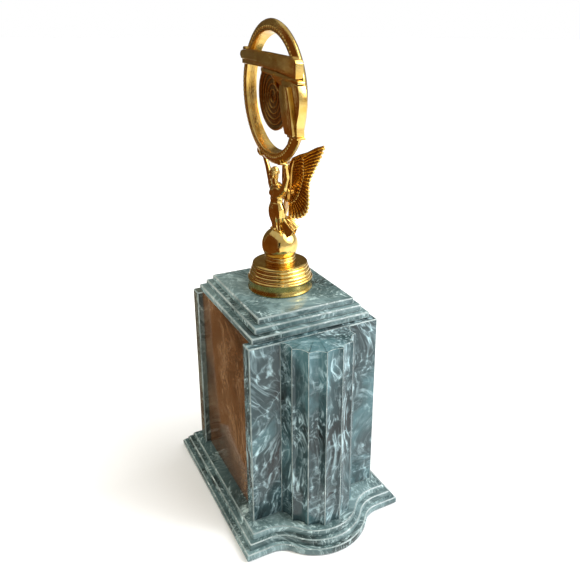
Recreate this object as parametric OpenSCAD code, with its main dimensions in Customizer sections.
// Column trophy: a marble-look column with a fluted half column on its front, on a
// three-step bowed plinth, under a gilt topper that turns about a tie rod. The topper
// is a riser, a globe and a winged figure that holds up a ring with a target and pistol.
// Millimetres. Z is up, the fluted front faces -Y, the topper faces -X.
// The origin is at the middle of the plinth's footprint, on the resting surface.

/* [Column] */
// Width of the column over its front and back panels
body_w = 92; // [80:1:120]
// Depth of the column, front face to back face
body_d = 104; // [90:1:130]
// Height of the column panels above the plinth
column_h = 128.1; // [90:0.1:180]
// Thickness of the front panel and of the back panel
panel_t = 9.5; // [7:0.5:14]
// Set-back of the core block and of each top step, all round
step_in = 3.8; // [3:0.1:5]
// Height of each of the three top steps
step_h = 4.35; // [3.5:0.05:6]
// Wall thickness of the hollow core block
core_wall = 3.5; // [2.5:0.5:6]

/* [Half column] */
// Radius over the sharp edges between the flutes
pilaster_r = 25.4; // [22:0.1:28]
// Number of hollow flutes round the half circle
flute_count = 7; // [5:1:9]
// Radius of the cutter that hollows one flute
flute_r = 9; // [8:0.5:14]
// Radius of the cavity inside the half column
pilaster_bore_r = 19.5; // [16:0.5:20]

/* [Plinth] */
// Thickness of the felt pad under the plinth
felt_t = 0.8; // [0.5:0.1:1.5]
// Height from the resting surface to the top of the plinth
plinth_h = 13.8; // [12:0.1:18]
// Overhang of the lowest step at each side of the column
side_over = 11.8; // [10:0.1:14]
// Overhang of the lowest step behind the column
back_over = 15; // [12:0.1:18]
// Overhang of the lowest step's straight front parts
front_over = 17.2; // [15:0.1:19]
// Radius of the lowest step's bow, about the half column's centre
bow_r = 36.4; // [34:0.1:40]
// Radius of the hollow curve that joins the lowest bow to its straight parts
ogee_r = 16; // [14:0.5:20]
// Set-back of each plinth step from the one below it
tread = 3.4; // [2.5:0.1:4]

/* [Riser and globe] */
// Radius of the riser's lower band
riser_r = 22.1; // [20:0.1:23]
// Running gap between the riser and the top plate
turn_gap = 0.25; // [0.2:0.05:0.4]
// Radius of the globe
globe_r = 12.2; // [11:0.1:13]
// Height of the globe's centre
globe_z = 185.7; // [185.5:0.1:186]
// Radius of the tie rod
rod_r = 3; // [2.5:0.5:3]
// Radial running clearance round the tie rod
rod_gap = 0.05; // [0.02:0.01:0.1]

/* [Ring and target] */
// Outer radius of the ring's front flange
ring_r = 44.1; // [43:0.1:45]
// Inner radius of the ring's front flange
ring_in = 36.9; // [36:0.1:38]
// Height of the ring's centre
ring_z = 285.2; // [284.8:0.1:285.6]
// Height that the pistol's outlines are drawn from
pistol_z = 283.8; // [283.6:0.1:284]
// Radius of the target disc
target_r = 21.5; // [20:0.1:23]

/* [Hidden] */
$fn = 96;

bow_front = bow_r;                         // furthest point of the plinth in front
y_mid = (body_d + back_over - bow_front) / 2;  // middle of the footprint's depth
axis_y = body_d / 2;                       // tie rod, at the middle of the column
z_panel = plinth_h;                        // underside of the column
z_column = plinth_h + column_h;            // top of the panels and half column
z_shoulder = z_column + step_h;            // top of the shoulder step
z_cap = z_shoulder + step_h;               // top of the cap step
z_plate = z_cap + step_h;                  // top of the top plate
z_riser = z_plate + turn_gap;              // underside of the riser
step_t = (plinth_h - felt_t) / 3;          // height of one plinth step
lid_t = 3;                                 // top of the half column, over its cavity
z_band = 163.7;                            // top of the riser's band
z_ridges = 173.4;                          // top of the riser's ridges
z_collar = 174.2;                          // underside of the collar
z_globe_flat = 178.9;                      // flat under the globe, on the collar
z_globe_top = globe_z + globe_r;

rod_z0 = 2.2;                              // lower end of the tie rod
rod_z1 = 187;                              // upper end, inside the globe
nut_z0 = 3.0;                              // hexagon nut, in the underside recess
nut_t = 4.8;
washer_t = 1.6;
nut_gap = 0.1;                             // running gap between nut and washer
recess_r = 10;                             // recess in the plinth for nut and washer
recess_z = nut_z0 + nut_t + nut_gap + washer_t;  // roof of that recess

ring_x0 = -6.5;                            // front face of the ring
ring_x1 = 0.9;                             // back of the ring
pistol_x0 = -9.3;                          // near side of the pistol
strap_x0 = -11.6;                          // near side of the grip's raised part
pistol_x1 = -4;                            // far side of the pistol
target_x0 = -3.4;                          // front of the target disc
target_x1 = -1.4;                          // back of the target disc

// Moves a shape from the column's frame, y = 0 on its front face, to the footprint's
module on_plinth() { translate([0, -y_mid, 0]) children(); }

// Moves a shape from the tie rod's frame to the footprint's
module on_rod() { translate([0, axis_y - y_mid, 0]) children(); }

// Block with its depth range and height range, centred in x
module slab(w, y0, y1, z0, z1) {
    translate([-w / 2, y0, z0]) cube([w, y1 - y0, z1 - z0]);
}

// Points along an arc about c, n steps from angle a0 to a1
function arc(c, r, a0, a1, n) =
    [for (i = [0 : n]) c + r * [cos(a0 + (a1 - a0) * i / n), sin(a0 + (a1 - a0) * i / n)]];

// Outline of one plinth step. in_by is its set-back from the lowest step
module plinth_outline(in_by) {
    rb = bow_r - in_by;
    fo = front_over - in_by;
    rf = ogee_r + in_by;
    cy = -(fo + rf);
    cx = sqrt(pow(rb + rf, 2) - cy * cy);
    turn = atan2(cx, -cy);                 // half the angle that the bow spans
    hw = body_w / 2 + side_over - in_by;
    back = body_d + back_over - in_by;
    polygon(concat(
        [[-hw, back], [-hw, -fo]],
        arc([-cx, cy], rf, 90, 90 - turn, 10),
        arc([0, 0], rb, 270 - turn + 2.5, 270 + turn - 2.5, 38),
        arc([cx, cy], rf, 90 + turn, 90, 10),
        [[hw, -fo], [hw, back]]));
}

// Step number n of the plinth, 0 at the bottom
module plinth_step(n) {
    translate([0, 0, felt_t + n * step_t])
        linear_extrude(step_t) plinth_outline(n * tread);
}

// Clearance bore for the tie rod, in the column's frame
module rod_bore(z0, z1) {
    translate([0, axis_y, z0]) cylinder(r = rod_r + rod_gap, h = z1 - z0);
}

module felt_pad() {
    color("dimgray") on_plinth() difference() {
        linear_extrude(felt_t) plinth_outline(2);
        translate([0, axis_y, -1]) cylinder(r = recess_r, h = felt_t + 2);
    }
}

module bottom_step() {
    color("darkslategray") on_plinth() difference() {
        plinth_step(0);
        translate([0, axis_y, 0]) cylinder(r = recess_r, h = plinth_h);
    }
}

module middle_step() {
    color("darkslategray") on_plinth() difference() {
        plinth_step(1);
        translate([0, axis_y, 0]) cylinder(r = recess_r, h = recess_z);
        rod_bore(0, plinth_h + 1);
    }
}

module top_step() {
    color("darkslategray") on_plinth() difference() {
        plinth_step(2);
        translate([0, axis_y, 0]) cylinder(r = recess_r, h = recess_z);
        rod_bore(0, plinth_h + 1);
    }
}

module rod_washer() {
    color("silver") on_plinth() difference() {
        translate([0, axis_y, recess_z - washer_t]) cylinder(r = 8, h = washer_t);
        rod_bore(0, plinth_h);
    }
}

// Hollow tube of rectangular section between the panels
module core_block() {
    w = body_w - 2 * step_in;
    color("saddlebrown") on_plinth() difference() {
        slab(w, panel_t, body_d - panel_t, z_panel, z_column);
        slab(w - 2 * core_wall, panel_t + core_wall, body_d - panel_t - core_wall,
             z_panel - 1, z_column + 1);
    }
}

module front_panel() {
    color("slategray") on_plinth() slab(body_w, 0, panel_t, z_panel, z_column);
}

module back_panel() {
    color("slategray") on_plinth()
        slab(body_w, body_d - panel_t, body_d, z_panel, z_column);
}

// Half round of hollow flutes that meet in sharp edges, hollow inside under a lid
module half_column() {
    pitch = 180 / flute_count;
    half = pilaster_r * sin(pitch / 2);
    c = pilaster_r * cos(pitch / 2) + sqrt(flute_r * flute_r - half * half);
    color("lightsteelblue") on_plinth()
    difference() {
        translate([0, 0, z_panel]) linear_extrude(column_h) difference() {
            circle(r = pilaster_r);
            translate([-40, 0]) square([80, 40]);
            for (i = [0 : flute_count - 1])
                rotate(180 + (i + 0.5) * pitch) translate([c, 0]) circle(r = flute_r);
        }
        translate([0, 0, z_panel - 1])
            cylinder(r = pilaster_bore_r, h = column_h + 1 - lid_t);
    }
}

module shoulder_step() {
    color("slategray") on_plinth() difference() {
        slab(body_w - 2 * step_in, step_in, body_d - step_in, z_column, z_shoulder);
        rod_bore(z_column - 1, z_shoulder + 1);
    }
}

module cap_step() {
    color("slategray") on_plinth() difference() {
        slab(body_w - 4 * step_in, 2 * step_in, body_d - 2 * step_in,
             z_shoulder, z_cap);
        rod_bore(z_shoulder - 1, z_cap + 1);
    }
}

module top_plate() {
    color("slategray") on_plinth() difference() {
        slab(body_w - 6 * step_in, 3 * step_in, body_d - 3 * step_in, z_cap, z_plate);
        rod_bore(z_cap - 1, z_plate + 1);
    }
}

module tie_rod() {
    color("silver") on_rod() translate([0, 0, rod_z0])
        cylinder(r = rod_r, h = rod_z1 - rod_z0);
}

module hex_nut() {
    color("silver") on_rod() difference() {
        translate([0, 0, nut_z0]) cylinder(r = 5.77, h = nut_t, $fn = 6);
        translate([0, 0, nut_z0 - 1]) cylinder(r = rod_r, h = nut_t + 2);
    }
}

// Hollow cup: a plain band with a lip, a waist of stepped ridges and a low dome
module riser() {
    color("goldenrod") on_rod() rotate_extrude()
        polygon([[riser_r - 2, z_riser], [riser_r, z_riser], [riser_r, z_band - 0.9],
                 [riser_r - 0.5, z_band], [21.2, z_band + 0.4], [21.2, 164.9],
                 [20.1, 165.4], [20.8, 166.0], [20.6, 166.9],
                 [19.3, 167.6], [20.0, 168.3], [19.8, 169.3],
                 [18.5, 170.0], [19.2, 170.7], [19.0, 171.6],
                 [17.9, 172.2], [18.5, 172.8], [18.3, z_ridges],
                 [14, 173.9], [10.4, z_collar], [rod_r, z_collar], [rod_r, 171.8],
                 [16, 171.0], [17.2, 168.0], [18.6, 165.0], [riser_r - 2, 162.5]]);
}

// Two rolled rings under the globe
module collar() {
    color("goldenrod") on_rod() rotate_extrude()
        polygon([[rod_r, z_collar], [10.0, z_collar], [10.5, 174.8], [10.5, 175.7],
                 [9.6, 176.4], [10.2, 177.0], [10.2, 177.8], [9.4, 178.4],
                 [9.4, z_globe_flat], [rod_r, z_globe_flat]]);
}

module globe() {
    color("goldenrod") on_rod() difference() {
        translate([0, 0, globe_z]) sphere(r = globe_r);
        translate([0, 0, z_globe_flat - 20]) cylinder(r = 20, h = 20);
        translate([0, 0, 170]) cylinder(r = rod_r, h = rod_z1 - 170);
    }
}

// Ball at p, for the hulls that round the figure
module ball(p, r) { translate(p) sphere(r = r, $fn = 28); }

// Rounded limb between two points
module limb(p, q, r1, r2) { hull() { ball(p, r1); ball(q, r2); } }

// Upright board that leans back from the shoulder blade of one side, s = -1 left
module wing_plane(s) {
    translate([4.2, s * 3.5, 0]) rotate([0, 0, s < 0 ? -53 : 53])
        rotate([90, 0, 0]) children();
}

// Skirt of the figure, from the waist down to the knees, on the globe
module gown() {
    color("gold") on_rod() difference() {
        union() {
            hull() {
                ball([-2, -1.6, 214.2], 3.5);
                ball([-2, 1.6, 214.2], 3.5);
                ball([-2, -3.6, 209.8], 4.4);
                ball([-2, 3.6, 209.8], 4.4);
            }
            hull() {
                ball([-2, -3.6, 209.8], 4.4);
                ball([-2, 3.6, 209.8], 4.4);
                ball([-3, -1.8, 200.2], 2.6);
                ball([-3, 1.8, 200.2], 2.6);
            }
        }
        translate([0, 0, globe_z]) sphere(r = globe_r);
        translate([-20, -20, 213.5]) cube(40);
    }
}

// Cloth that sweeps back from the knees over the globe
module train() {
    color("gold") on_rod() difference() {
        union() {
            hull() {
                ball([1.0, -3.5, 204.2], 2.2);
                ball([1.0, 3.5, 204.2], 2.2);
                ball([8.5, -4.5, 200.2], 1.8);
                ball([8.5, 4.5, 200.2], 1.8);
            }
            hull() {
                ball([8.5, -4.5, 200.2], 1.8);
                ball([8.5, 4.5, 200.2], 1.8);
                ball([12.4, -4.2, 194.6], 1.3);
                ball([12.4, 4.2, 194.6], 1.3);
            }
            // Open fold of the hem that stands off the globe
            limb([0.6, -2.6, 203], [4, -8.4, 195.8], 2.6, 3);
        }
        translate([0, 0, globe_z]) sphere(r = globe_r);
        hull() {
            ball([-2, -3.6, 209.8], 4.4);
            ball([-2, 3.6, 209.8], 4.4);
            ball([-3, -1.8, 200.2], 2.6);
            ball([-3, 1.8, 200.2], 2.6);
        }
    }
}

module torso() {
    color("gold") on_rod() difference() {
        union() {
            hull() {
                ball([-1.6, -6.4, 223.6], 3.4);
                ball([-1.6, 6.4, 223.6], 3.4);
                ball([-2.4, -4.4, 219.4], 4.2);
                ball([-2.4, 4.4, 219.4], 4.2);
                ball([-2, -1.6, 214.2], 3.5);
                ball([-2, 1.6, 214.2], 3.5);
            }
            limb([-2.2, 0, 225.5], [-3, 0, 229.4], 2.4, 2.1);
        }
        translate([-20, -20, 193.5]) cube([40, 40, 20]);
        translate([-20, -20, 229.2]) cube([40, 40, 20]);
    }
}

// Head with the hair gathered at the back, its crown under the ring
module head() {
    color("gold") on_rod() difference() {
        hull() {
            ball([-3.4, 0, 235.6], 3.5);
            ball([-4.0, 0, 232.4], 2.9);
            ball([-1.8, 0, 234.4], 3.0);
        }
        translate([-20, -20, 209.2]) cube([40, 40, 20]);
    }
}

// Raised arm: out from the shoulder, then up to the underside of the ring
module arm(s, elbow, hand) {
    difference() {
        union() {
            limb([-0.8, s * 7.6, 224.2], [-1, s * 10.4, 227.8], 2.9, 2.4);
            limb([-1, s * 10.4, 227.8], elbow, 2.4, 1.7);
            limb(elbow, hand, 1.7, 1.5);
        }
        hull() {
            ball([-1.6, -6.4, 223.6], 3.4);
            ball([-1.6, 6.4, 223.6], 3.4);
            ball([-2.4, -4.4, 219.4], 4.2);
            ball([-2.4, 4.4, 219.4], 4.2);
        }
        translate([ring_x0 - 5, 0, ring_z]) rotate([0, 90, 0])
            cylinder(r = ring_r, h = 20, $fn = 180);
    }
}

module left_arm() {
    color("gold") on_rod() arm(-1, [-0.9, -14.2, 235], [-2.4, -14.8, 242.8]);
}

module right_arm() {
    color("gold") on_rod() arm(1, [-1.5, 14.6, 237], [-2.4, 19, 245.6]);
}

// Outline of one wing: distance out from the root, and height
module wing_outline() {
    polygon([[-0.4, 206], [1, 202.8], [9.2, 204.3], [12.8, 206.5], [14.6, 209.5],
             [14.9, 218.3], [15.3, 223.7], [16.3, 229.1], [20.4, 237.3], [23.1, 242.7],
             [25.8, 248.7], [27.1, 253.2], [25.7, 254.6], [21.7, 253.4], [16.2, 249.7],
             [9.2, 247.5], [4.9, 246.5], [0.5, 242], [-0.8, 234], [-0.8, 214]]);
}

module wing(s) {
    difference() {
        wing_plane(s) linear_extrude(2, center = true) wing_outline();
        hull() {
            ball([1.0, -3.5, 204.2], 2.2);
            ball([1.0, 3.5, 204.2], 2.2);
            ball([8.5, -4.5, 200.2], 1.8);
            ball([8.5, 4.5, 200.2], 1.8);
        }
    }
    // Root that joins the wing to the shoulder blade
    difference() {
        limb([1.4, s * 3.4, 221.5], [4.2, s * 3.6, 220.5], 2.2, 1.2);
        hull() {
            ball([-1.6, -6.4, 223.6], 3.4);
            ball([-1.6, 6.4, 223.6], 3.4);
            ball([-2.4, -4.4, 219.4], 4.2);
            ball([-2.4, 4.4, 219.4], 4.2);
        }
    }
}

module left_wing() { color("gold") on_rod() wing(-1); }

module right_wing() { color("gold") on_rod() wing(1); }

// Puts a shape drawn with x along -Y and y up near the ring's centre, its length
// running in +X from x0 to x1
module on_ring(x0, x1) {
    on_rod() translate([x0, 0, pistol_z]) rotate([90, 0, 90])
        linear_extrude(x1 - x0) mirror([1, 0]) children();
}

// Side view of the slide and barrel, muzzle at the left
module slide_outline() {
    polygon([[-38, 26.6], [-38, 18.6], [-36.6, 18.6], [-36.4, 17.4], [-6, 16.6],
             [15, 15.4], [42, 12.6], [42.2, 22], [40, 24], [36, 24.2], [35, 25.2],
             [32.6, 25.2], [32.4, 24.4], [0, 25.6], [-30, 26.4], [-30.5, 27.8],
             [-34, 28.2], [-37, 27.4]]);
}

// Side view of the frame below the slide, with the trigger
module frame_outline() {
    polygon([[-6, 16.6], [-6, 14.2], [9, 13], [11.5, 11], [24, 7.2], [24, 12],
             [44.4, 10.2], [44, 12.2], [42, 12.6], [15, 15.4]]);
    polygon([[18, 10], [18.4, 6.6], [17.6, 5.9], [18.8, 5.4], [20.4, 7.4], [21, 9]]);
}

// Side view of the grip: front strap at the left, palm swell at the right, foot below
module grip_outline() {
    polygon([[24, 12], [24, 1.6], [26.2, -6], [28.6, -14], [31.4, -19.2],
             [31.4, -20.6], [44.4, -20.6], [44.4, -19.2], [43.6, -19.2],
             [43.4, -11.5], [44.4, -9.6], [46.2, -5], [46.6, 0], [45.8, 6],
             [44.4, 10.2]]);
}

module pistol_slide() {
    color("darkgoldenrod") on_ring(pistol_x0, pistol_x1) slide_outline();
}

module pistol_frame() {
    color("darkgoldenrod") {
        on_ring(pistol_x0 + 0.3, pistol_x1 - 0.3) frame_outline();
        // Boss that carries the target disc
        on_ring(pistol_x1 - 0.3, target_x0)
            translate([11.5, 9]) square([11, 3]);
    }
}

// Bow of the trigger guard
module pistol_guard() {
    color("darkgoldenrod") on_ring(pistol_x0 + 1.3, pistol_x1 - 1.3)
        polygon([[9, 13], [10.6, 8.6], [14.4, 5], [19.4, 2.6], [24, 1.6], [24, 3.2],
                 [20, 4.2], [15.6, 6.4], [12.4, 9.6], [11.5, 11]]);
}

module pistol_grip() {
    color("darkgoldenrod") {
        on_ring(pistol_x0, pistol_x1) grip_outline();
        // Raised front part of the grip's near side
        on_ring(strap_x0, pistol_x0 + 1)
            polygon([[25.4, 8.8], [25.2, 2], [27.8, -8], [32, -18.6], [42.8, -18.6],
                     [41.6, -14.6], [40.4, -8], [38.6, -1.5], [36.6, 4.6],
                     [35.2, 8.4]]);
    }
}

// Flanged ring with a tapered inside and a rounded back, notched for the pistol
module ring() {
    color("gold") difference() {
        on_rod() translate([0, 0, ring_z]) rotate([0, 90, 0]) rotate_extrude($fn = 180)
            polygon([[ring_in, ring_x0], [ring_r - 1.3, ring_x0],
                     [ring_r - 0.3, ring_x0 + 0.5], [ring_r, ring_x0 + 1.2],
                     [ring_r, ring_x0 + 2], [43.3, -3], [41.8, -1.3], [40, 0],
                     [38, ring_x1], [35.2, ring_x1]]);
        on_ring(pistol_x0, pistol_x1) {
            slide_outline();
            frame_outline();
            grip_outline();
        }
    }
}

// Disc with concentric scoring rings
module target_disc() {
    color("goldenrod") on_rod() translate([0, 1.2, pistol_z - 0.4]) rotate([0, 90, 0])
        rotate_extrude()
            polygon([[0, target_x1], [0, target_x0 + 0.4], [3, target_x0 + 0.4],
                     [3, target_x0], [4.4, target_x0], [4.4, target_x0 + 0.4],
                     [8, target_x0 + 0.4], [8, target_x0], [9.4, target_x0],
                     [9.4, target_x0 + 0.4], [13, target_x0 + 0.4], [13, target_x0],
                     [14.4, target_x0], [14.4, target_x0 + 0.4],
                     [18.6, target_x0 + 0.4], [18.6, target_x0],
                     [target_r, target_x0], [target_r, target_x1]]);
}

felt_pad();
bottom_step();
middle_step();
top_step();
rod_washer();
core_block();
front_panel();
back_panel();
half_column();
shoulder_step();
cap_step();
top_plate();
tie_rod();
hex_nut();
riser();
collar();
globe();
gown();
train();
torso();
head();
left_arm();
right_arm();
left_wing();
right_wing();
ring();
target_disc();
pistol_slide();
pistol_frame();
pistol_guard();
pistol_grip();
